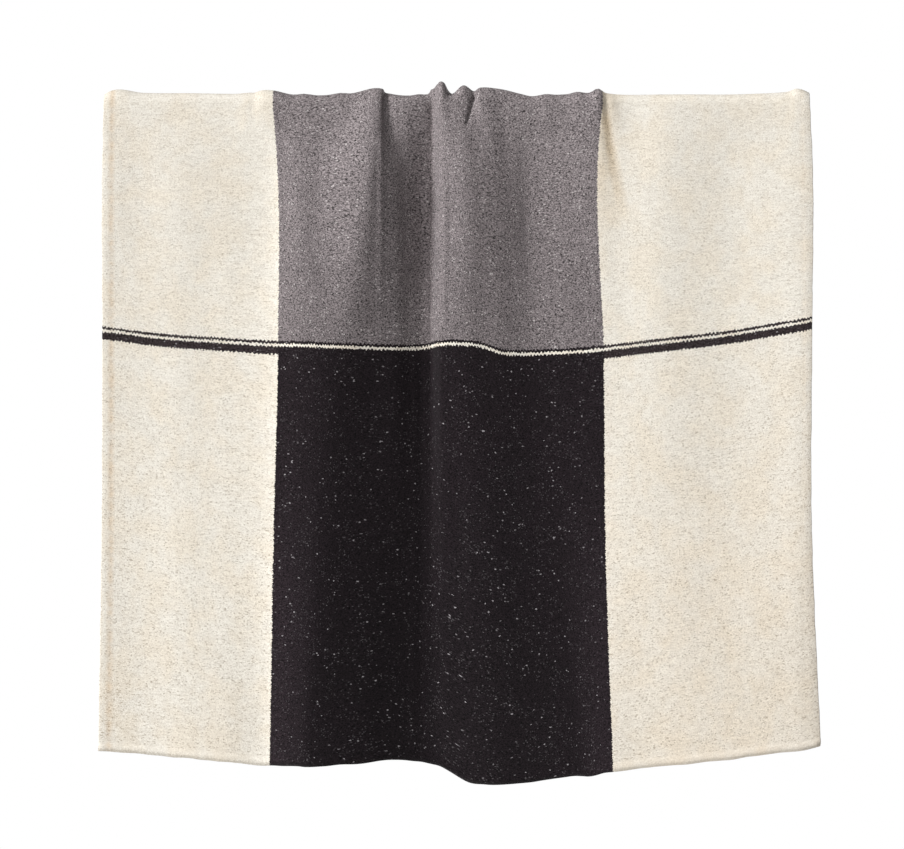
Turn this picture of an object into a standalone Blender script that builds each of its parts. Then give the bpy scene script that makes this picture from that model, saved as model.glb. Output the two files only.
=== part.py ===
"""A heavy woven throw blanket, hung over a horizontal rail with its long side in front.

Units are metres and +Z is up, and the tables below are in millimetres. The origin is the
underside of the top fold at mid-width, where the rail carries the cloth. The front drop
faces -Y and the shorter back drop faces +Y.
"""
from collections import namedtuple

import bmesh
import bpy
import numpy as np

MM = 0.001

# The flat cloth, and how thick it is where it is single and at its turned hems
FLAT_LENGTH = 1.80
CLOTH_THICKNESS = 0.003
HEM_THICKNESS = 0.0055
HEM_WIDTH = 0.014
HEM_STEP = 0.004

# The rail that the top fold is made for
RAIL_RADIUS = 0.012
ROLL_RADIUS = RAIL_RADIUS + CLOTH_THICKNESS / 2
RAIL_CENTRE_Z = -RAIL_RADIUS

# How far below the rail the gathers of the top fold have opened into the long folds
NECK_Z = -0.100

# How far down from the stripe to the hem the low part of the drop is measured, as a share
LOW_SHARE = 0.45

# Each fold runs down the front drop past five heights: the top fold, the neck, the cross
# stripe, the low part and the hem. "x" is where the fold stands across the cloth at that
# height and "out" is how far it stands out from the rail's face. "lift" is how far the cloth
# rises off the rail, "stripe_z" and "hem_z" are where the stripe and the hem lie on that
# fold, "back_out" is how far it stands out behind, at the back hem, and "columns" is how
# many columns of the mesh lead to the next fold.
Fold = namedtuple(
    "Fold",
    "name top_x neck_x stripe_x low_x hem_x top_out neck_out stripe_out low_out hem_out"
    " lift stripe_z hem_z back_out columns",
)
FOLDS = (
    Fold("left edge", -618, -620, -620, -621, -627, 2, 3, 4, 4, 4, 3, -408, -1140, 2, 1),
    Fold("left hem", -605, -606, -606, -607, -611, 2, 3, 3, 3, 3, 9, -409, -1141, 3, 2),
    Fold("left curl", -553, -557, -555, -555, -557, 1, 1, 1, 1, 0, 5, -416, -1146, 10, 2),
    Fold("left swell", -475, -480, -485, -482, -475, 0, 1, 1, 2, 2, 4, -423, -1153, 34, 2),
    Fold("left trough", -392, -403, -420, -420, -412, 0, -1, 0, 1, 2, 3, -427, -1159, 12, 2),
    Fold("left join", -323, -316, -313, -321, -328, 5, 2, 6, 5, 0, 9, -433, -1167, -2, 2),
    Fold("left rise", -285, -283, -276, -281, -293, 1, 9, 20, 17, 11, 1, -432, -1164, 4, 2),
    Fold("crest shoulder", -197, -223, -227, -236, -258, 2, 12, 26, 24, 21, 2, -434, -1163, 30, 2),
    Fold("crest", -148, -156, -185, -192, -210, 14, 33, 20, 15, 14, 13, -436, -1162, 40, 2),
    Fold("crest lip", -133, -137, -147, -152, -168, 12, 28, 7, 2, 2, 12, -438, -1162, 38, 2),
    Fold("trough left", -126, -114, -109, -113, -122, 2, 11, -6, -12, -17, 5, -440, -1162, 28, 2),
    Fold("trough swell", -92, -91, -80, -79, -84, 5, -1, -20, -25, -31, 0, -441, -1167, 20, 2),
    Fold("valley", -42, -40, -43, -46, -46, 0, -16, -28, -33, -39, 7, -437, -1175, 16, 1),
    Fold("fold wall", -37, -35, -37, -36, -31, 5, 3, -12, -26, -37, 18, -434, -1179, 14, 1),
    Fold("fold corner", -34, -29, -29, -25, -14, 11, 20, 5, -18, -31, 20, -432, -1187, 12, 1),
    Fold("peak", -28, -18, -13, -1, 17, 16, 25, 10, -10, -20, 20, -430, -1201, 14, 2),
    Fold("notch", -10, 0, 9, 24, 47, 14, 28, 13, -2, -12, 3, -431, -1203, 16, 2),
    Fold("lump", 10, 17, 28, 46, 73, 11, 27, 12, 1, -9, 18, -432, -1203, 24, 2),
    Fold("slot", 26, 31, 45, 65, 94, 7, 23, 9, 1, -9, 8, -436, -1202, 34, 2),
    Fold("hump", 40, 58, 70, 90, 126, 12, 17, 6, -2, -10, 14, -445, -1199, 40, 2),
    Fold("hump side", 76, 92, 98, 120, 160, 5, 6, 0, -5, -9, 11, -449, -1193, 36, 2),
    Fold("right face", 120, 122, 133, 157, 199, 1, -1, -5, -6, -4, 1, -449, -1187, 14, 2),
    Fold("right flat", 190, 192, 199, 208, 234, 1, 0, -2, -2, 2, 2, -446, -1184, 0, 2),
    Fold("right join", 251, 244, 254, 257, 270, 7, 4, 1, 2, 6, 5, -441, -1176, 2, 2),
    Fold("right streak", 279, 276, 286, 290, 304, 0, 0, 1, 3, 4, 2, -437, -1172, 8, 2),
    Fold("right swell", 370, 362, 352, 365, 400, 1, 2, 3, 3, 3, 2, -429, -1163, 36, 3),
    Fold("right trough", 486, 483, 483, 486, 497, 0, -3, -3, -2, 1, 2, -414, -1153, 2, 2),
    Fold("right shoulder", 575, 552, 552, 553, 562, 0, -1, -1, -1, -1, 6, -402, -1144, 6, 1),
    Fold("right hem", 600, 601, 604, 602, 613, 1, 1, 1, 0, -4, 11, -393, -1140, 10, 1),
    Fold("right edge", 614, 618, 618, 617, 634, 0, 0, 0, -2, -7, 5, -390, -1134, 8, 0),
)

# How the rows of the mesh are shared out: down the front to the neck, on to the stripe and
# on to the hem, around the rail, and down the back. A hem is the outer two lines of points.
HEM_LINES = 2
FRONT_ROWS_TO_NECK = 3
FRONT_ROWS_TO_STRIPE = 5
FRONT_ROWS_TO_HEM = 7
ROLL_ROWS = 8
BACK_ROWS = 7

# The back drop: its width at its hem, and how much of its lift each fold keeps where it
# leaves the rail behind
BACK_HEM_WIDTH = 1.21
BACK_SHARE_OF_LIFT = 0.5

# The colours of the woven bands: cream at both sides, and between the two joins grey as
# far as the cross stripe and black below it
BAND_COLOURS = {
    "cream wool": (0.80, 0.75, 0.65, 1.0),
    "grey wool": (0.21, 0.19, 0.19, 1.0),
    "black wool": (0.020, 0.015, 0.018, 1.0),
}
CREAM, GREY, BLACK = range(3)
CLOTH_ROUGHNESS = 0.95


def table_column(name):
    """One named column of the folds' table, in metres."""
    return np.array([getattr(fold, name) for fold in FOLDS], dtype=float) * MM


def smooth_through(places, values, at):
    """Read a smooth curve through the values, which are given at rising places."""
    steps = np.diff(places)
    slopes = (np.diff(values, axis=0).T / steps).T
    before, after = steps[:-1], steps[1:]
    inner = ((slopes[:-1].T * after + slopes[1:].T * before) / (before + after)).T
    tangents = np.concatenate([slopes[:1], inner, slopes[-1:]])
    index = np.clip(np.searchsorted(places, at, side="right") - 1, 0, len(steps) - 1)
    step = steps[index]
    share = (at - places[index]) / step
    start, end = values[index].T, values[index + 1].T
    leaving, arriving = tangents[index].T * step, tangents[index + 1].T * step
    square, cube = share**2, share**3
    return (
        start * (2 * cube - 3 * square + 1)
        + leaving * (cube - 2 * square + share)
        + end * (3 * square - 2 * cube)
        + arriving * (cube - square)
    ).T


def flat_places():
    """Where each fold lies across the flat cloth: its mean girth from the left edge."""
    girths = []
    for height in ("top", "neck", "stripe", "low", "hem"):
        across = np.diff(table_column(height + "_x"))
        outward = np.diff(table_column(height + "_out"))
        girths.append(np.hypot(across, outward))
    return np.concatenate([[0.0], np.cumsum(np.mean(girths, axis=0))])


def mesh_columns(places):
    """The flat places of the mesh's columns, as many between two folds as the table says.

    Each side hem has one column more, just inside it, where the cloth gets thin.
    """
    columns = [
        np.linspace(start, end, fold.columns, endpoint=False)
        for fold, start, end in zip(FOLDS, places[:-1], places[1:])
    ]
    inside_hems = [places[1] + HEM_STEP, places[-2] - HEM_STEP, places[-1]]
    return np.sort(np.concatenate(columns + [inside_hems]))


def front_rows(read):
    """The rows of the front drop, from the hem up to the rail, as (columns, 3) arrays."""
    stripe_z, hem_z = read("stripe_z"), read("hem_z")
    levels = [
        np.stack([read(height + "_x"), -ROLL_RADIUS - read(height + "_out"), z], axis=1)
        for height, z in (
            ("top", np.full_like(stripe_z, RAIL_CENTRE_Z)),
            ("neck", np.full_like(stripe_z, NECK_Z)),
            ("stripe", stripe_z),
            ("low", stripe_z + LOW_SHARE * (hem_z - stripe_z)),
            ("hem", hem_z),
        )
    ]
    heights = np.array([-level[:, 2].mean() for level in levels])
    hem_fold = heights[-1] - HEM_WIDTH
    inside_hem = hem_fold - HEM_STEP
    drops = np.concatenate([
        np.linspace(heights[0], heights[1], FRONT_ROWS_TO_NECK, endpoint=False),
        np.linspace(heights[1], heights[2], FRONT_ROWS_TO_STRIPE, endpoint=False),
        np.linspace(heights[2], inside_hem, FRONT_ROWS_TO_HEM, endpoint=False),
        [inside_hem, hem_fold, heights[-1]],
    ])
    rows = smooth_through(heights, np.stack(levels), drops)
    return rows[::-1]


def roll_rows(read):
    """The rows around the rail, from just past its front to just before its back."""
    front_radius = ROLL_RADIUS + read("top_out")
    top_radius = ROLL_RADIUS + read("lift")
    back_radius = ROLL_RADIUS + BACK_SHARE_OF_LIFT * read("lift")
    rows = []
    for angle in np.linspace(0.0, np.pi, ROLL_ROWS + 1)[1:-1]:
        side_radius = front_radius if angle < np.pi / 2 else back_radius
        y = -np.cos(angle) * side_radius
        z = RAIL_CENTRE_Z + np.sin(angle) * top_radius
        rows.append(np.stack([read("top_x"), y, z], axis=1))
    return np.stack(rows)


def back_rows(read, columns, used_length):
    """The rows of the back drop, which takes the length that the front and top leave."""
    top_x = read("top_x")
    hem_x = (columns / columns[-1] - 0.5) * BACK_HEM_WIDTH
    top_out = BACK_SHARE_OF_LIFT * read("lift")
    drop = FLAT_LENGTH - used_length
    hem_fold = 1 - HEM_WIDTH / drop.mean()
    inside_hem = hem_fold - HEM_STEP / drop.mean()
    shares = np.append(np.linspace(0.0, inside_hem, BACK_ROWS), [hem_fold, 1.0])
    rows = []
    for share in shares:
        eased = share**2 * (3 - 2 * share)
        x = top_x + (hem_x - top_x) * eased
        out = top_out + (read("back_out") - top_out) * eased
        z = RAIL_CENTRE_Z - drop * share
        rows.append(np.stack([x, ROLL_RADIUS + out, z], axis=1))
    return np.stack(rows)


def path_length(rows):
    """The length along each column of the cloth, over the rows given."""
    return np.linalg.norm(np.diff(rows, axis=0), axis=2).sum(axis=0)


def draped_points(places, columns):
    """The middle of the draped cloth, as an array of (rows, columns, 3), front hem first."""

    def read(name):
        return smooth_through(places, table_column(name), columns)

    front = front_rows(read)
    roll = roll_rows(read)
    used_length = path_length(front) + path_length(roll).mean()
    return np.concatenate([front, roll, back_rows(read, columns, used_length)])


def band_of_face(row, column, joins):
    """Which woven band the face past this row and column of points lies in."""
    left_join, right_join = joins
    if not left_join <= column < right_join:
        return CREAM
    below_stripe = row < HEM_LINES + FRONT_ROWS_TO_HEM
    return BLACK if below_stripe else GREY


def sheet_object(name, points, joins):
    """A grid of the given points, with its woven bands, and its hems in a vertex group."""
    row_count, column_count = points.shape[:2]
    mesh = bpy.data.meshes.new(name)
    grid = bmesh.new()
    bmesh.ops.create_grid(grid, x_segments=column_count - 1, y_segments=row_count - 1, size=1.0)
    hem_vertices = []
    for vertex in grid.verts:
        column = round((vertex.co.x + 1) / 2 * (column_count - 1))
        row = round((vertex.co.y + 1) / 2 * (row_count - 1))
        vertex.co = points[row, column]
        to_side = min(column, column_count - 1 - column)
        to_end = min(row, row_count - 1 - row)
        if min(to_side, to_end) < HEM_LINES:
            hem_vertices.append(vertex.index)
    for face in grid.faces:
        row, column = divmod(min(vertex.index for vertex in face.verts), column_count)
        face.material_index = band_of_face(row, column, joins)
    grid.to_mesh(mesh)
    grid.free()
    sheet = bpy.data.objects.new(name, mesh)
    cloth = sheet.vertex_groups.new(name="cloth")
    cloth.add(range(len(mesh.vertices)), CLOTH_THICKNESS / HEM_THICKNESS, "REPLACE")
    cloth.add(hem_vertices, 1.0, "REPLACE")
    return sheet


def thicken(sheet):
    """Give the sheet its thickness, to both sides of its middle, and more at the hems."""
    solidify = sheet.modifiers.new("thickness", "SOLIDIFY")
    solidify.thickness = HEM_THICKNESS
    solidify.offset = 0.0
    solidify.vertex_group = "cloth"
    solidify.use_even_offset = False


def wool_material(name, colour):
    """Brushed wool: matt, with no metal in it."""
    material = bpy.data.materials.new(name)
    material.use_nodes = True
    shader = material.node_tree.nodes["Principled BSDF"]
    shader.inputs["Base Color"].default_value = colour
    shader.inputs["Roughness"].default_value = CLOTH_ROUGHNESS
    shader.inputs["Metallic"].default_value = 0.0
    return material


def clear_scene():
    """Remove what the start-up file holds."""
    for old in list(bpy.data.objects):
        bpy.data.objects.remove(old)


def make_throw():
    """Build the throw blanket in a collection of its own."""
    clear_scene()
    collection = bpy.data.collections.new("throw blanket")
    bpy.context.scene.collection.children.link(collection)
    places = flat_places()
    columns = mesh_columns(places)
    joins = [
        int(np.searchsorted(columns, place))
        for fold, place in zip(FOLDS, places)
        if fold.name in ("left join", "right join")
    ]
    throw = sheet_object("throw", draped_points(places, columns), joins)
    for name, colour in BAND_COLOURS.items():
        throw.data.materials.append(wool_material(name, colour))
    throw.data.shade_smooth()
    thicken(throw)
    collection.objects.link(throw)


make_throw()
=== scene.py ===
"""Looks for the heavy woven throw blanket that hangs over a rail, long side in front.

Units are metres and +Z is up, and the tables are in millimetres. The origin is the underside
of the top fold at mid-width. The front drop faces -Y.
"""
import math
from collections import namedtuple

import bpy
import numpy as np
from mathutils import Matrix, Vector


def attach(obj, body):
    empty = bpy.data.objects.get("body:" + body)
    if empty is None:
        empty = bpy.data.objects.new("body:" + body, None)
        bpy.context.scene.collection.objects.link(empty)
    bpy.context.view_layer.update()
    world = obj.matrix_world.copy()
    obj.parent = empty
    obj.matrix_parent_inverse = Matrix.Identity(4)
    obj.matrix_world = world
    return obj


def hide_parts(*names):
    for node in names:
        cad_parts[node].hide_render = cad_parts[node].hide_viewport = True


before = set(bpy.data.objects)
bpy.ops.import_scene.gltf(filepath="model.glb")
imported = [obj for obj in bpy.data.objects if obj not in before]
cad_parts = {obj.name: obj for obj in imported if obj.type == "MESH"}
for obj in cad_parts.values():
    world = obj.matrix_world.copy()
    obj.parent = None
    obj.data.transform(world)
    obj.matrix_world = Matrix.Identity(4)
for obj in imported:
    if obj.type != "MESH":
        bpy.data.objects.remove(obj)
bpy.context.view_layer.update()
bpy.ops.object.select_all(action="DESELECT")


# The camera stands level, square to the cloth and a little left of its middle. The frame is
# shifted down on it, because the long drop hangs mostly below the lens.
IMAGE_WIDTH = 904
METRES_PER_PIXEL = 0.001745
CAMERA_DISTANCE = 3.3
CAMERA_PLACE = (-0.0105, -0.0135 - CAMERA_DISTANCE, -0.20)
FRAME_CENTRE_Z = -0.572
SENSOR_WIDTH = 36.0

frame_width = IMAGE_WIDTH * METRES_PER_PIXEL
bpy.ops.object.camera_add(location=CAMERA_PLACE, rotation=(math.pi / 2, 0.0, 0.0))
camera = bpy.context.object
camera.name = "camera"
camera.data.sensor_width = SENSOR_WIDTH
camera.data.lens = SENSOR_WIDTH * CAMERA_DISTANCE / frame_width
camera.data.shift_y = (FRAME_CENTRE_Z - CAMERA_PLACE[2]) / frame_width
bpy.context.scene.camera = camera


# Plain studio light: one broad light from the upper left that rakes across the folds, a weak
# soft fill from the front, and a pair of soft lights behind for the back drop.
Light = namedtuple("Light", "name kind power size place")
LIGHTS = (
    Light("key", "SUN", 4.0, math.radians(16), (-3.6, -2.4, 1.2)),
    Light("fill", "AREA", 28.0, 2.0, (-0.9, -3.6, 0.1)),
    Light("back key", "AREA", 110.0, 2.0, (1.6, 3.4, 0.9)),
    Light("back fill", "AREA", 30.0, 2.0, (-2.4, 2.8, 0.0)),
)
LIGHT_AIM = Vector((0.0, 0.0, -0.55))
AMBIENT = 0.2

for light in LIGHTS:
    aim = (LIGHT_AIM - Vector(light.place)).to_track_quat("-Z", "Y").to_euler()
    bpy.ops.object.light_add(type=light.kind, location=light.place, rotation=aim)
    lamp = bpy.context.object
    lamp.name = light.name
    lamp.data.energy = light.power
    if light.kind == "SUN":
        lamp.data.angle = light.size
    else:
        lamp.data.size = light.size

# The room is a plain white surround that the camera sees as white and that lights softly.
world = bpy.data.worlds.new("white surround")
bpy.context.scene.world = world
world.use_nodes = True
surround = world.node_tree
soft_white = surround.nodes["Background"]
soft_white.inputs["Color"].default_value = (1.0, 1.0, 1.0, 1.0)
soft_white.inputs["Strength"].default_value = AMBIENT
seen_white = surround.nodes.new("ShaderNodeBackground")
seen_white.inputs["Color"].default_value = (1.0, 1.0, 1.0, 1.0)
chosen = surround.nodes.new("ShaderNodeMixShader")
ray = surround.nodes.new("ShaderNodeLightPath")
surround.links.new(ray.outputs["Is Camera Ray"], chosen.inputs["Fac"])
surround.links.new(soft_white.outputs["Background"], chosen.inputs[1])
surround.links.new(seen_white.outputs["Background"], chosen.inputs[2])
surround.links.new(chosen.outputs["Shader"], surround.nodes["World Output"].inputs["Surface"])
bpy.context.scene.view_settings.view_transform = "Standard"

# The floor is a plain pale disc under the cloth.
FLOOR_RADIUS = 1.15
FLOOR_Z = -1.75

bpy.ops.mesh.primitive_circle_add(
    vertices=96, radius=FLOOR_RADIUS, fill_type="NGON", location=(0.0, 0.0, FLOOR_Z)
)
floor = bpy.context.object
floor.name = "floor"
pale = bpy.data.materials.new("pale floor")
pale.use_nodes = True
pale.node_tree.nodes["Principled BSDF"].inputs["Base Color"].default_value = (0.8, 0.8, 0.79, 1.0)
pale.node_tree.nodes["Principled BSDF"].inputs["Roughness"].default_value = 0.8
floor.data.materials.append(pale)


# The throw is one piece of heavy wool cloth, woven with three bands across and one stripe,
# with its four edges turned under and stitched. It is folded over a rail, and hangs in long
# soft folds that start in the gathers of its top fold.
MM = 0.001
FLAT_LENGTH = 1.80
CLOTH_THICKNESS = 0.003
RAIL_RADIUS = 0.012
ROLL_RADIUS = RAIL_RADIUS + CLOTH_THICKNESS / 2
RAIL_CENTRE_Z = -RAIL_RADIUS
NECK_Z = -0.100
LOW_SHARE = 0.45
BACK_HEM_WIDTH = 1.21
BACK_SHARE_OF_LIFT = 0.5

# Each fold runs down the front drop past five heights: the top fold, the neck, the cross
# stripe, the low part and the hem. "x" is where the fold stands across the cloth at that
# height and "out" is how far it stands out from the rail's face. "lift" is how far the cloth
# rises off the rail, "stripe_z" and "hem_z" are where the stripe and the hem lie on that
# fold, and "back_out" is how far it stands out behind, at the back hem.
Fold = namedtuple(
    "Fold",
    "name top_x neck_x stripe_x low_x hem_x top_out neck_out stripe_out low_out hem_out"
    " lift stripe_z hem_z back_out",
)
FOLDS = (
    Fold("left edge", -618, -620, -620, -621, -627, 2, 3, 4, 4, 4, 3, -408, -1140, 2),
    Fold("left hem", -605, -606, -606, -607, -611, 2, 3, 3, 3, 3, 9, -409, -1141, 3),
    Fold("left curl", -553, -557, -555, -555, -557, 1, 1, 1, 1, 0, 5, -416, -1146, 10),
    Fold("left swell", -475, -480, -485, -482, -475, 0, 1, 1, 2, 2, 4, -423, -1153, 34),
    Fold("left trough", -392, -403, -420, -420, -412, 0, -1, 0, 1, 2, 3, -427, -1159, 12),
    Fold("left join", -323, -316, -313, -321, -328, 5, 2, 6, 5, 0, 9, -433, -1167, -2),
    Fold("left rise", -285, -283, -276, -281, -293, 1, 9, 20, 17, 11, 1, -432, -1164, 4),
    Fold("crest shoulder", -197, -223, -227, -236, -258, 2, 12, 26, 24, 21, 2, -434, -1163, 30),
    Fold("crest", -148, -156, -185, -192, -210, 14, 33, 20, 15, 14, 13, -436, -1162, 40),
    Fold("crest lip", -133, -137, -147, -152, -168, 12, 28, 7, 2, 2, 12, -438, -1162, 38),
    Fold("trough left", -126, -114, -109, -113, -122, 2, 11, -6, -12, -17, 5, -440, -1162, 28),
    Fold("trough swell", -92, -91, -80, -79, -84, 5, -1, -20, -25, -31, 0, -441, -1167, 20),
    Fold("valley", -42, -40, -43, -46, -46, 0, -16, -28, -33, -39, 7, -437, -1175, 16),
    Fold("fold wall", -37, -35, -37, -36, -31, 5, 3, -12, -26, -37, 18, -434, -1179, 14),
    Fold("fold corner", -34, -29, -29, -25, -14, 11, 20, 5, -18, -31, 20, -432, -1187, 12),
    Fold("peak", -28, -18, -13, -1, 17, 16, 25, 10, -10, -20, 20, -430, -1201, 14),
    Fold("notch", -10, 0, 9, 24, 47, 14, 28, 13, -2, -12, 3, -431, -1203, 16),
    Fold("lump", 10, 17, 28, 46, 73, 11, 27, 12, 1, -9, 18, -432, -1203, 24),
    Fold("slot", 26, 31, 45, 65, 94, 7, 23, 9, 1, -9, 8, -436, -1202, 34),
    Fold("hump", 40, 58, 70, 90, 126, 12, 17, 6, -2, -10, 14, -445, -1199, 40),
    Fold("hump side", 76, 92, 98, 120, 160, 5, 6, 0, -5, -9, 11, -449, -1193, 36),
    Fold("right face", 120, 122, 133, 157, 199, 1, -1, -5, -6, -4, 1, -449, -1187, 14),
    Fold("right flat", 190, 192, 199, 208, 234, 1, 0, -2, -2, 2, 2, -446, -1184, 0),
    Fold("right join", 251, 244, 254, 257, 270, 7, 4, 1, 2, 6, 5, -441, -1176, 2),
    Fold("right streak", 279, 276, 286, 290, 304, 0, 0, 1, 3, 4, 2, -437, -1172, 8),
    Fold("right swell", 370, 362, 352, 365, 400, 1, 2, 3, 3, 3, 2, -429, -1163, 36),
    Fold("right trough", 486, 483, 483, 486, 497, 0, -3, -3, -2, 1, 2, -414, -1153, 2),
    Fold("right shoulder", 575, 552, 552, 553, 562, 0, -1, -1, -1, -1, 6, -402, -1144, 6),
    Fold("right hem", 600, 601, 604, 602, 613, 1, 1, 1, 0, -4, 11, -393, -1140, 10),
    Fold("right edge", 614, 618, 618, 617, 634, 0, 0, 0, -2, -7, 5, -390, -1134, 8),
)

# The turned hems from the edge inwards: how thick the cloth is at the sides, which are pressed
# flat, and at the ends, which are rolled, and how far the face of the ends stands out.
HemLine = namedtuple("HemLine", "inside side_thickness end_thickness end_bulge")
HEM_PROFILE = (
    HemLine(0.0, 2.2, 2.8, -1.1),
    HemLine(0.8, 3.0, 4.2, -0.7),
    HemLine(2.2, 3.5, 5.4, -0.1),
    HemLine(4.5, 3.7, 6.0, 0.7),
    HemLine(7.5, 3.7, 6.0, 1.4),
    HemLine(10.5, 3.7, 5.0, 1.1),
    HemLine(13.5, 3.6, 4.2, 0.0),
    HemLine(16.0, 3.1, 3.6, -0.4),
    HemLine(18.5, 3.0, 3.2, -0.2),
    HemLine(22.0, 3.0, 3.0, 0.0),
)

# The small gathers of the top fold between the main folds: where each stands across the
# top, how high it rises, half its width and how far down the drop it reaches.
Gather = namedtuple("Gather", "x rise half_width reach")
GATHERS = (
    Gather(-356, -2.5, 13, 40),
    Gather(-269, 3.0, 9, 45),
    Gather(-206, 3.0, 10, 55),
    Gather(-68, 2.5, 8, 40),
    Gather(-43, 6.0, 8, 26),
    Gather(-29, 4.0, 12, 26),
    Gather(128, -1.5, 8, 50),
    Gather(155, 2.5, 10, 55),
    Gather(209, 3.5, 9, 60),
    Gather(245, 7.5, 8, 40),
)

# Sharper creases between the folds, where the cloth pinches in: where each starts and ends
# on the front, how deep it is and half its width. A depth below zero is a low ridge.
Crease = namedtuple("Crease", "start_x start_z end_x end_z depth half_width")
CREASES = (
    Crease(-134, -70, -135, -460, -1.6, 4.5),
    Crease(-54, -150, -54, -1300, -3.0, 10),
    Crease(-127, 0, -127, -110, 3.5, 5),
    Crease(-46, 0, -43, -230, 3.5, 5),
    Crease(28, 0, 12, -62, 6.5, 3.2),
    Crease(78, -20, 90, -200, 1.2, 13),
    Crease(257, -8, 277, -150, 2.8, 7),
)

# How close together the lines of the mesh stand
GATHERED_PITCH = 0.0030
JOIN_PITCH = 0.0045
PLAIN_PITCH = 0.0066
TOP_ROW_PITCH = 0.006
DROP_ROW_PITCH = 0.0125
BACK_ROW_PITCH = 0.0175
TOP_ROWS_END = 0.13
ROLL_ROWS = 14


def table_column(name, table=FOLDS):
    """One named column of a table, in metres."""
    return np.array([getattr(row, name) for row in table], dtype=float) * MM


def smooth_through(places, values, at):
    """Read a smooth curve through the values, which are given at rising places."""
    steps = np.diff(places)
    slopes = (np.diff(values, axis=0).T / steps).T
    before, after = steps[:-1], steps[1:]
    inner = ((slopes[:-1].T * after + slopes[1:].T * before) / (before + after)).T
    tangents = np.concatenate([slopes[:1], inner, slopes[-1:]])
    index = np.clip(np.searchsorted(places, at, side="right") - 1, 0, len(steps) - 1)
    step = steps[index]
    share = (at - places[index]) / step
    start, end = values[index].T, values[index + 1].T
    leaving, arriving = tangents[index].T * step, tangents[index + 1].T * step
    square, cube = share**2, share**3
    return (
        start * (2 * cube - 3 * square + 1)
        + leaving * (cube - 2 * square + share)
        + end * (3 * square - 2 * cube)
        + arriving * (cube - square)
    ).T


def evenly(start, end, pitch):
    """Places from start up to, but without, the end, about one pitch apart."""
    return np.linspace(start, end, max(1, round(abs(end - start) / pitch)), endpoint=False)


# Where each fold lies across the flat cloth: its mean girth from the left edge
girths = [
    np.hypot(np.diff(table_column(height + "_x")), np.diff(table_column(height + "_out")))
    for height in ("top", "neck", "stripe", "low", "hem")
]
fold_places = np.concatenate([[0.0], np.cumsum(np.mean(girths, axis=0))])
place_of = {fold.name: place for fold, place in zip(FOLDS, fold_places)}
flat_width = fold_places[-1]

hem_insides = table_column("inside", HEM_PROFILE)
hem_depth = hem_insides[-1]
across = np.concatenate([
    hem_insides[:-1],
    evenly(hem_depth, place_of["crest shoulder"], PLAIN_PITCH),
    evenly(place_of["crest shoulder"], place_of["right face"], GATHERED_PITCH),
    evenly(place_of["right face"], place_of["right streak"], JOIN_PITCH),
    evenly(place_of["right streak"], flat_width - hem_depth, PLAIN_PITCH),
    flat_width - hem_insides[::-1],
])


def fold_value(name):
    """A column of the folds' table, read at every line of the mesh across the cloth."""
    return smooth_through(fold_places, table_column(name), across)


# The front drop, from its hem up to the rail
stripe_z, hem_z = fold_value("stripe_z"), fold_value("hem_z")
levels = [
    np.stack([fold_value(height + "_x"), -ROLL_RADIUS - fold_value(height + "_out"), z], axis=1)
    for height, z in (
        ("top", np.full_like(across, RAIL_CENTRE_Z)),
        ("neck", np.full_like(across, NECK_Z)),
        ("stripe", stripe_z),
        ("low", stripe_z + LOW_SHARE * (hem_z - stripe_z)),
        ("hem", hem_z),
    )
]
level_drops = np.array([-level[:, 2].mean() for level in levels])
front_drops = np.concatenate([
    level_drops[-1] - hem_insides[:-1],
    evenly(level_drops[-1] - hem_depth, TOP_ROWS_END, DROP_ROW_PITCH),
    evenly(TOP_ROWS_END, level_drops[0], TOP_ROW_PITCH),
    level_drops[:1],
])
front = smooth_through(level_drops, np.stack(levels), front_drops)

# Around the rail
roll = []
for angle in np.linspace(0.0, np.pi, ROLL_ROWS + 1)[1:-1]:
    lift = fold_value("lift")
    front_radius = ROLL_RADIUS + fold_value("top_out")
    back_radius = ROLL_RADIUS + BACK_SHARE_OF_LIFT * lift
    y = -np.cos(angle) * (front_radius if angle < np.pi / 2 else back_radius)
    z = RAIL_CENTRE_Z + np.sin(angle) * (ROLL_RADIUS + lift)
    roll.append(np.stack([fold_value("top_x"), y, z], axis=1))
roll = np.stack(roll)


def path_length(rows):
    """The length along each line of the cloth, over the rows given."""
    return np.linalg.norm(np.diff(rows, axis=0), axis=2).sum(axis=0)


# The back drop takes the length that the front and the top leave
drop = FLAT_LENGTH - path_length(front) - path_length(roll).mean()
shares = np.concatenate([
    evenly(0.0, 1.0 - hem_depth / drop.mean(), BACK_ROW_PITCH / drop.mean()),
    1.0 - hem_insides[::-1] / drop.mean(),
])
back = []
for share in shares:
    eased = share**2 * (3 - 2 * share)
    hem_x = (across / flat_width - 0.5) * BACK_HEM_WIDTH
    x = fold_value("top_x") + (hem_x - fold_value("top_x")) * eased
    leaving = BACK_SHARE_OF_LIFT * fold_value("lift")
    y = ROLL_RADIUS + leaving + (fold_value("back_out") - leaving) * eased
    back.append(np.stack([x, y, RAIL_CENTRE_Z - drop * share], axis=1))
points = np.concatenate([front, roll, np.stack(back)])

# Where each row lies along the flat cloth, from the front hem
row_steps = np.linalg.norm(np.diff(points, axis=0), axis=2).mean(axis=1)
along = np.concatenate([[0.0], np.cumsum(row_steps)])
flat_length = along[-1]
stripe_place = np.interp(-level_drops[2], -front_drops, along[: len(front_drops)])
top_place = along[len(front_drops) + ROLL_ROWS // 2 - 1]

# The cloth's own relief, along its face: long shallow swells in all directions, the small
# gathers and creases, and the bulge of the hems
SWELLS = 40
SWELL_SHORTEST, SWELL_LONGEST = 0.045, 0.22
SWELL_HEIGHT = 0.0016
EDGE_ROUNDING = 0.003
EDGE_WAVES = 14
EDGE_WAVE_SHORTEST, EDGE_WAVE_LONGEST = 0.016, 0.11
EDGE_WAVE_HEIGHT = 0.009
EDGE_WAVE_REACH = 0.02
CHANCE_SEED = 11

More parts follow.
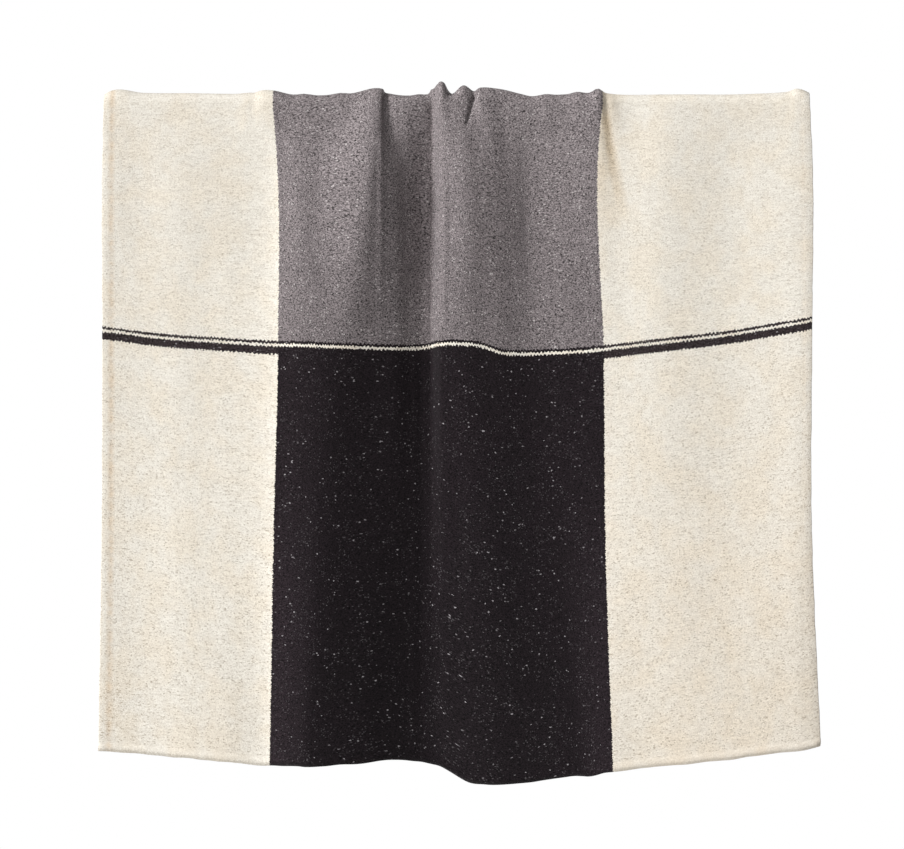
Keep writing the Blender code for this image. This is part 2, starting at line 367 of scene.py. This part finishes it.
chance = np.random.default_rng(CHANCE_SEED)
relief = np.zeros((len(along), len(across)))
for length in chance.uniform(SWELL_SHORTEST, SWELL_LONGEST, SWELLS):
    turn, start = chance.uniform(0.0, 2 * np.pi, 2)
    phase = across[None, :] * np.cos(turn) + along[:, None] * np.sin(turn)
    height = SWELL_HEIGHT * length / SWELLS
    relief += height * np.sin(2 * np.pi * phase / length + start) * np.sqrt(SWELLS)

for gather in GATHERS:
    place = np.interp(gather.x * MM, fold_value("top_x"), across)
    beside = np.exp(-(((across - place) / (gather.half_width * MM)) ** 2))
    below = np.exp(-(((along - top_place) / (gather.reach * MM)) ** 2))
    relief += gather.rise * MM * below[:, None] * beside[None, :]

on_front = np.arange(len(along)) < len(front_drops) + ROLL_ROWS // 2
for crease in CREASES:
    start = np.array([crease.start_x, crease.start_z]) * MM
    run = np.array([crease.end_x, crease.end_z]) * MM - start
    offset = points[:, :, [0, 2]] - start
    share = np.clip(offset @ run / (run @ run), 0.0, 1.0)
    away = np.linalg.norm(offset - share[..., None] * run, axis=2) / (crease.half_width * MM)
    fade = 1.0 - share**2
    relief -= crease.depth * MM * fade * np.exp(-(away**2)) * on_front[:, None]

to_side = np.minimum(across, flat_width - across)
to_end = np.minimum(along, flat_length - along)
relief += np.interp(to_end, hem_insides, table_column("end_bulge", HEM_PROFILE))[:, None]
side_thickness = np.interp(to_side, hem_insides, table_column("side_thickness", HEM_PROFILE))
end_thickness = np.interp(to_end, hem_insides, table_column("end_thickness", HEM_PROFILE))
thicker = np.maximum(side_thickness[None, :], end_thickness[:, None])
thinner = np.minimum(side_thickness[None, :], end_thickness[:, None])
at_edge = np.minimum(to_side[None, :], to_end[:, None]) < EDGE_ROUNDING
thickness = np.where(at_edge, thinner, thicker)

facing = np.cross(np.gradient(points, axis=1), np.gradient(points, axis=0))
facing /= np.linalg.norm(facing, axis=2, keepdims=True)
points += facing * relief[..., None]


def edge_waves(places):
    """A slight waver along a hem, as a sum of short waves."""
    waver = np.zeros_like(places)
    for length in chance.uniform(EDGE_WAVE_SHORTEST, EDGE_WAVE_LONGEST, EDGE_WAVES):
        start = chance.uniform(0.0, 2 * np.pi)
        waver += length * np.sin(2 * np.pi * places / length + start)
    return EDGE_WAVE_HEIGHT * waver / np.sqrt(EDGE_WAVES)


near_side = np.exp(-to_side / EDGE_WAVE_REACH)
near_end = np.exp(-to_end / EDGE_WAVE_REACH)
points[:, :, 0] += near_side[None, :] * edge_waves(along)[:, None]
points[:, :, 2] += near_end[:, None] * edge_waves(across)[None, :]

# The mesh, with the flat cloth's own measures as its UV map
row_count, column_count = points.shape[:2]
corner = np.arange(row_count * column_count).reshape(row_count, column_count)
faces = np.stack([corner[:-1, :-1], corner[:-1, 1:], corner[1:, 1:], corner[1:, :-1]], axis=-1)
faces = faces.reshape(-1, 4)
mesh = bpy.data.meshes.new("throw_cloth")
mesh.from_pydata(points.reshape(-1, 3).tolist(), [], faces.tolist())
flat_map = mesh.uv_layers.new(name="flat_cloth")
flat_points = np.stack(np.meshgrid(across, along), axis=-1).reshape(-1, 2)
flat_map.data.foreach_set("uv", flat_points[faces.ravel()].astype(np.float32).ravel())
throw = bpy.data.objects.new("throw_cloth", mesh)
bpy.context.scene.collection.objects.link(throw)

thickest = thickness.max()
group = throw.vertex_groups.new(name="thickness")
for share in np.unique(thickness.round(6)):
    members = np.flatnonzero(thickness.round(6).ravel() == share)
    group.add(members.tolist(), share / thickest, "REPLACE")
bpy.ops.object.select_all(action="DESELECT")
bpy.context.view_layer.objects.active = throw
throw.select_set(True)
solidify = throw.modifiers.new("thickness", "SOLIDIFY")
solidify.thickness = thickest
solidify.offset = 0.0
solidify.vertex_group = "thickness"
bpy.ops.object.modifier_apply(modifier=solidify.name)
bpy.ops.object.shade_smooth()


# The wool: brushed, matt and uneven. The colours are the yarns' own, the grain is the fibre
# and the pits between the yarns, and the flecks are pale fibres caught in the darker yarns.
CREAM = (0.895, 0.853, 0.768, 1.0)
CREAM_PIT = (0.31, 0.25, 0.18, 1.0)
WARM_CREAM = (0.99, 0.925, 0.835, 1.0)
TAN_TINGE_AND_SHADE = (0.93, 0.85, 0.77, 1.0)
WARM_SHADOW = (0.93, 0.83, 0.70, 1.0)
GREY = (0.200, 0.175, 0.178, 1.0)
GREY_FLECK = (0.62, 0.58, 0.57, 1.0)
BLACK = (0.0125, 0.0090, 0.0108, 1.0)
STRIPE_BLACK = (0.027, 0.0205, 0.0215, 1.0)
BLACK_FLECK = (0.32, 0.30, 0.31, 1.0)

wool = bpy.data.materials.new("wool_cloth")
wool.use_nodes = True
tree = wool.node_tree
shader = tree.nodes["Principled BSDF"]


def add_node(kind, inputs, output=0, **settings):
    """Add a node, set or link its inputs, given by name or number, and return an output."""
    node = tree.nodes.new(kind)
    for name, value in settings.items():
        setattr(node, name, value)
    for key, value in inputs.items():
        if isinstance(value, bpy.types.NodeSocket):
            tree.links.new(value, node.inputs[key])
        else:
            node.inputs[key].default_value = value
    return node.outputs[output]


def maths(operation, *values):
    """A Math node."""
    return add_node("ShaderNodeMath", dict(enumerate(values)), operation=operation)


def weighed(first, first_share, second, second_share):
    """The sum of two values, each taken at its own share."""
    return maths("MULTIPLY_ADD", first, first_share, maths("MULTIPLY", second, second_share))


def blend_colours(share, first, second, mode="MIX"):
    """Mix two colours."""
    node = tree.nodes.new("ShaderNodeMix")
    node.data_type = "RGBA"
    node.blend_type = mode
    factor_socket, first_socket, second_socket, result_socket = 0, 6, 7, 2
    for number, value in ((factor_socket, share), (first_socket, first), (second_socket, second)):
        if isinstance(value, bpy.types.NodeSocket):
            tree.links.new(value, node.inputs[number])
        else:
            node.inputs[number].default_value = value
    return node.outputs[result_socket]


# A tone follows a pattern or a place on the cloth. It goes from at_low to at_high while that
# goes from low to high, and is held beyond both.
Tone = namedtuple("Tone", "by low high at_low at_high")


def toned(*tones):
    """The product of the tones given."""
    product = None
    for tone in tones:
        value = add_node("ShaderNodeMapRange", dict(enumerate(tone)))
        product = value if product is None else maths("MULTIPLY", product, value)
    return product


def scaled_cloth(across_mm, along_mm, shift):
    """Places on the flat cloth, counted in cells of the given size."""
    scale = (1.0 / (across_mm * MM), 1.0 / (along_mm * MM), 1.0)
    return add_node(
        "ShaderNodeMapping", {"Vector": flat_uv, "Location": (shift, shift, 0.0), "Scale": scale}
    )


def clouds(across_mm, along_mm, shift, detail=2.0):
    """Soft noise around 0.5, with features of the given size."""
    places = scaled_cloth(across_mm, along_mm, shift)
    inputs = {"Vector": places, "Scale": 1.0, "Detail": detail, "Roughness": 0.6}
    return add_node("ShaderNodeTexNoise", inputs, noise_dimensions="2D")


def uneven_cells(across_mm, along_mm, shift, output):
    """Small uneven cells of the given size: the distance to their middle or a chance colour."""
    inputs = {"Vector": scaled_cloth(across_mm, along_mm, shift), "Scale": 1.0}
    return add_node("ShaderNodeTexVoronoi", inputs, output, voronoi_dimensions="2D")


def specks(across_mm, along_mm, shift):
    """A chance value from 0 to 1 for each small cell, as from one fibre to the next."""
    cell_colour = uneven_cells(across_mm, along_mm, shift, "Color")
    return add_node("ShaderNodeSeparateColor", {"Color": cell_colour})


def knots(across_mm, along_mm, shift):
    """Small even dots, bright in their middles, about one to a cell."""
    from_cell_middle = uneven_cells(across_mm, along_mm, shift, "Distance")
    return toned(Tone(from_cell_middle, 0.0, 0.9, 1.0, 0.0))


# Places on the flat cloth, in millimetres: across it, along it from the front hem, and from
# its top fold, ends, sides and joins
flat_uv = add_node("ShaderNodeUVMap", {}, uv_map="flat_cloth")
place = add_node("ShaderNodeSeparateXYZ", {"Vector": flat_uv}).node
u = maths("DIVIDE", place.outputs["X"], MM)
v = maths("DIVIDE", place.outputs["Y"], MM)
cloth_width = flat_width / MM
left_join = place_of["left join"] / MM
right_join = place_of["right join"] / MM
across_share = maths("DIVIDE", u, cloth_width)
from_top = maths("SUBTRACT", top_place / MM, v)
from_end = maths("MINIMUM", v, maths("SUBTRACT", flat_length / MM, v))
from_middle = maths("ABSOLUTE", maths("SUBTRACT", u, cloth_width / 2))
from_side = maths("SUBTRACT", cloth_width / 2, from_middle)
from_right_join = maths("SUBTRACT", u, right_join)
from_black_middle = maths("ABSOLUTE", maths("SUBTRACT", u, (left_join + right_join) / 2))
from_joins = maths("SUBTRACT", (right_join - left_join) / 2, from_black_middle)

# The patterns of the cloth. The yarns run across, with curls and loops of fibre on them, and
# the largest patterns are slow drifts of tone.
yarns = clouds(across_mm=5.2, along_mm=2.8, shift=1.0, detail=3.0)
curls = clouds(across_mm=2.4, along_mm=2.0, shift=5.0, detail=1.0)
crinkle = clouds(across_mm=20.0, along_mm=3.5, shift=61.0, detail=1.0)
patches = clouds(across_mm=26.0, along_mm=15.0, shift=13.0)
warmth = clouds(across_mm=60.0, along_mm=70.0, shift=21.0)
drift = clouds(across_mm=80.0, along_mm=60.0, shift=9.0)
fibres = specks(across_mm=1.6, along_mm=1.4, shift=17.0)
fine_fibres = specks(across_mm=1.3, along_mm=1.2, shift=51.0)
strands = specks(across_mm=2.6, along_mm=1.5, shift=27.0)
loops = knots(across_mm=3.1, along_mm=2.7, shift=57.0)
pits = weighed(yarns, 0.45, curls, 0.55)
mixed_fibres = weighed(fine_fibres, 0.62, loops, 0.46)

# Where two colours meet, the edge is toothed by the yarns of the other direction: the pitch
# of the teeth, their height as a share of half the pitch, how far chance moves the edge, and
# the size of the cells that this chance comes in.
Teeth = namedtuple("Teeth", "pitch height_share chance_reach chance_across chance_along shift")
STRIPE_TEETH = Teeth(5.6, 0.85, 2.3, 2.4, 3.0, 3.0)
JOIN_TEETH = Teeth(3.2, 0.80, 2.0, 3.0, 2.4, 7.0)


def ragged(teeth):
    """A chance value around 0 for each small cell."""
    return maths("SUBTRACT", specks(teeth.chance_across, teeth.chance_along, teeth.shift), 0.5)


def toothed(edge_place, along_edge, teeth):
    """The place across an edge between two colours, moved by its teeth."""
    tooth = maths("SUBTRACT", maths("PINGPONG", along_edge, teeth.pitch / 2), teeth.pitch / 4)
    moved = weighed(tooth, teeth.height_share, ragged(teeth), teeth.chance_reach)
    return maths("ADD", edge_place, moved)


# The woven bands. The middle is black below the stripe, and grey from there up, over the top
# and down the back. The stripe has a thin black line, a cream line and a black band, from the
# top down.
THIN_LINE = 4.8
CREAM_LINE = 4.5
BLACK_BAND = 14.0

toothed_u = toothed(u, v, JOIN_TEETH)
right_of_left = maths("GREATER_THAN", toothed_u, left_join)
left_of_right = maths("LESS_THAN", toothed_u, right_join)
in_middle = maths("MULTIPLY", right_of_left, left_of_right)
above_stripe = maths("SUBTRACT", toothed(v, u, STRIPE_TEETH), stripe_place / MM)
below = maths("LESS_THAN", above_stripe, 0.0)
in_cream_line = maths("LESS_THAN", maths("ABSOLUTE", above_stripe), CREAM_LINE / 2)
dark_middle = (THIN_LINE - BLACK_BAND) / 2
dark_half = (THIN_LINE + CREAM_LINE + BLACK_BAND) / 2
in_dark = maths("COMPARE", above_stripe, dark_middle, dark_half)
is_black = maths("MAXIMUM", in_dark, maths("MULTIPLY", in_middle, below))
is_black = maths("MULTIPLY", is_black, maths("SUBTRACT", 1.0, in_cream_line))
is_grey = maths("MULTIPLY", in_middle, maths("SUBTRACT", 1.0, below))
is_grey = maths("MULTIPLY", is_grey, maths("SUBTRACT", 1.0, in_dark))

# Cream: dark pits between curly yarns, deepest low on the cloth, and painted shade that darkens
# the cream towards the bottom hem
pit_tone = toned(Tone(from_top, 100.0, 900.0, 0.62, 0.34))
cream_tone = toned(
    Tone(pits, 0.34, 0.56, 0.80, 1.00),
    Tone(mixed_fibres, 0.10, 0.95, 0.70, 1.09),
    Tone(strands, 0.00, 0.16, pit_tone, 1.00),
    Tone(crinkle, 0.30, 0.70, 0.91, 1.075),
    Tone(patches, 0.30, 0.70, 0.96, 1.03),
    Tone(drift, 0.30, 0.70, 0.98, 1.02),
    Tone(from_top, 850.0, 1120.0, 1.00, 0.92),
)

# A warm painted shadow lies on the front beside the right join, darkest and speckled along the
# shadow of the crease that slants away from it.
SHADOW_LINE_START = -2.0
SHADOW_LINE_SLANT = 0.2

shadow_line_place = maths("MULTIPLY_ADD", from_top, SHADOW_LINE_SLANT, SHADOW_LINE_START)
from_shadow_line = maths("ABSOLUTE", maths("SUBTRACT", from_right_join, shadow_line_place))
on_right = maths("GREATER_THAN", from_right_join, 0.0)
# Painted shadow along the crease beside the right join
crease_shadow = toned(
    Tone(on_right, 0.00, 1.00, 0.00, 1.00),
    Tone(from_shadow_line, 3.0, 17.0, 1.00, 0.00),
    Tone(from_top, -40.0, 0.0, 0.00, 1.00),
    Tone(from_top, 20.0, 60.0, 0.20, 1.00),
    Tone(from_top, 110.0, 240.0, 1.00, 0.00),
)
# Painted shade that fades away from the right join
join_shadow = toned(
    Tone(on_right, 0.00, 1.00, 0.00, 1.00),
    Tone(from_right_join, 10.0, 45.0, 0.50, 0.00),
    Tone(from_top, -40.0, 0.0, 0.00, 1.00),
    Tone(from_top, 120.0, 330.0, 1.00, 0.00),
)
# Painted shadow: darker specks within the crease's shadow
shadow_specks = maths("MULTIPLY", crease_shadow, toned(Tone(strands, 0.10, 0.70, -0.35, 0.00)))
cream_tone = maths("MULTIPLY_ADD", cream_tone, shadow_specks, cream_tone)

# The rolled ends carry a painted highlight along the shoulder of the hem, which lifts their grain
# lighter and smoother, and painted shade that darkens them towards the right.
join_chance = ragged(JOIN_TEETH)
rightwards = toned(Tone(across_share, 0.45, 0.75, 0.00, 1.00))
# Painted highlight along the shoulder of the rolled ends
hem_highlight = toned(
    Tone(maths("ADD", from_end, join_chance), 15.0, 18.0, 0.74, 0.00),
    Tone(mixed_fibres, 0.10, 0.95, 0.78, 1.22),
)
cream_tone = maths("MAXIMUM", cream_tone, hem_highlight)
# Painted shade along the ends towards the right
right_end_shade = maths("MULTIPLY", rightwards, toned(Tone(from_end, 10.0, 17.0, -0.10, 0.00)))
cream_tone = maths("MULTIPLY_ADD", cream_tone, right_end_shade, cream_tone)

# The cream has warmer patches. A tan painted shade darkens it low on the right, and a tan tinge
# along the stitches of the side hems is partly painted shade of their groove, strongest on the
# left.
SIDE_STITCHES = 16.0

warm = toned(Tone(warmth, 0.38, 0.66, 0.00, 0.45))
# Painted shade, low on the right
low_right_shade = toned(
    Tone(across_share, 0.60, 0.80, 0.00, 0.30),
    Tone(from_top, 450.0, 950.0, 0.00, 1.00),
)
from_stitches = maths("ABSOLUTE", maths("SUBTRACT", from_side, SIDE_STITCHES))
# Tan tinge along the side stitches, partly painted shade of their groove
stitch_tinge_and_shade = toned(
    Tone(from_stitches, 1.0, 8.0, 1.00, 0.00),
    Tone(patches, 0.35, 0.60, 0.35, 1.00),
    Tone(across_share, 0.00, 1.00, 1.00, 0.25),
)
cream = blend_colours(cream_tone, CREAM_PIT, CREAM)
cream = blend_colours(warm, cream, WARM_CREAM, "MULTIPLY")
cream = blend_colours(maths("MAXIMUM", low_right_shade, stitch_tinge_and_shade), cream, TAN_TINGE_AND_SHADE, "MULTIPLY")
# Both painted shadows tint the cream warm
cream = blend_colours(maths("MAXIMUM", crease_shadow, join_shadow), cream, WARM_SHADOW, "MULTIPLY")

# Single pale fibres in the darker yarns come in loose clusters: the size of a fibre, the
# share of cells of that size that hold one, and how strongly it shows.
Flecks = namedtuple("Flecks", "across_mm along_mm share shift strength")
GREY_FLECKS = Flecks(2.0, 1.6, 0.03, 31.0, 0.9)
LARGE_FLECKS = Flecks(2.5, 1.9, 0.007, 37.0, 1.0)
SMALL_FLECKS = Flecks(1.7, 1.4, 0.04, 43.0, 0.22)
CLUSTER_ACROSS, CLUSTER_ALONG, CLUSTER_SHIFT = 38.0, 46.0, 3.0


def scattered(flecks):
    """How strongly the flecks show, from 0 between them."""
    chance_value = specks(flecks.across_mm, flecks.along_mm, flecks.shift)
    cluster_shift = flecks.shift + CLUSTER_SHIFT
    clusters = clouds(CLUSTER_ACROSS, CLUSTER_ALONG, cluster_shift, detail=3.0)
    crowding = toned(Tone(clusters, 0.36, 0.62, 0.05, 2.00))
    least = maths("MULTIPLY_ADD", crowding, -flecks.share, 1.0)
    there = maths("GREATER_THAN", chance_value, least)
    brightness = toned(Tone(chance_value, least, 1.00, 0.10, 1.00))
    return maths("MULTIPLY", maths("MULTIPLY", there, brightness), flecks.strength)


# Grey: pale and dark fibres spun together, and painted light that makes it lighter near the top
# fold and darker lower down
grey_tone = toned(
    Tone(mixed_fibres, 0.08, 0.98, 0.00, 1.96),
    Tone(drift, 0.30, 0.70, 0.95, 1.05),
    Tone(from_top, 100.0, 400.0, 1.06, 0.86),
)
grey = blend_colours(1.0, GREY, grey_tone, "MULTIPLY")
grey = blend_colours(scattered(GREY_FLECKS), grey, GREY_FLECK)

# Black: nearly even, darker towards the bottom as painted shade, and paler beside the joins, most
# of all low on the cloth, as a painted glow from the cream beside it. The stripe is a little
# lighter than the middle.
black_tone = toned(
    Tone(mixed_fibres, 0.05, 0.98, 0.00, 1.90),
    Tone(from_top, 600.0, 1000.0, 1.00, 0.76),
)
# Painted glow beside the joins, strongest low on the cloth
join_glow = toned(
    Tone(from_joins, 10.0, 95.0, 1.00, 0.00),
    Tone(from_top, 650.0, 950.0, 0.15, 1.00),
)
black_tone = maths("MULTIPLY_ADD", black_tone, join_glow, black_tone)
black = blend_colours(in_middle, STRIPE_BLACK, BLACK)
black = blend_colours(1.0, black, black_tone, "MULTIPLY")
black_flecks = maths("MAXIMUM", scattered(LARGE_FLECKS), scattered(SMALL_FLECKS))
black = blend_colours(black_flecks, black, BLACK_FLECK)

# The turned ends lie in their own shadow along the very edge, less so on the right. Chance
# moves the end of this shadow too.
SHADOW_CHANCE = 3.0

rolled = toned(
    Tone(maths("MULTIPLY_ADD", join_chance, SHADOW_CHANCE, from_end), 4.5, 8.5, 1.00, 0.00),
    Tone(fibres, 0.00, 1.00, 0.40, 0.00),
    Tone(rightwards, 0.00, 1.00, 1.00, 0.10),
)
shown = blend_colours(is_grey, cream, grey)
shown = blend_colours(is_black, shown, black)
shown = blend_colours(rolled, shown, CREAM_PIT, "MULTIPLY")
tree.links.new(shown, shader.inputs["Base Color"])

relief_height = weighed(pits, 0.7, fibres, 0.3)
bump = add_node("ShaderNodeBump", {"Strength": 0.6, "Distance": 0.0012, "Height": relief_height})
tree.links.new(bump, shader.inputs["Normal"])
shader.inputs["Roughness"].default_value = 0.95
shader.inputs["Specular IOR Level"].default_value = 0.1
shader.inputs["Sheen Weight"].default_value = 0.05
shader.inputs["Sheen Roughness"].default_value = 0.5
throw.data.materials.append(wool)

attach(throw, "root")
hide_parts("throw")
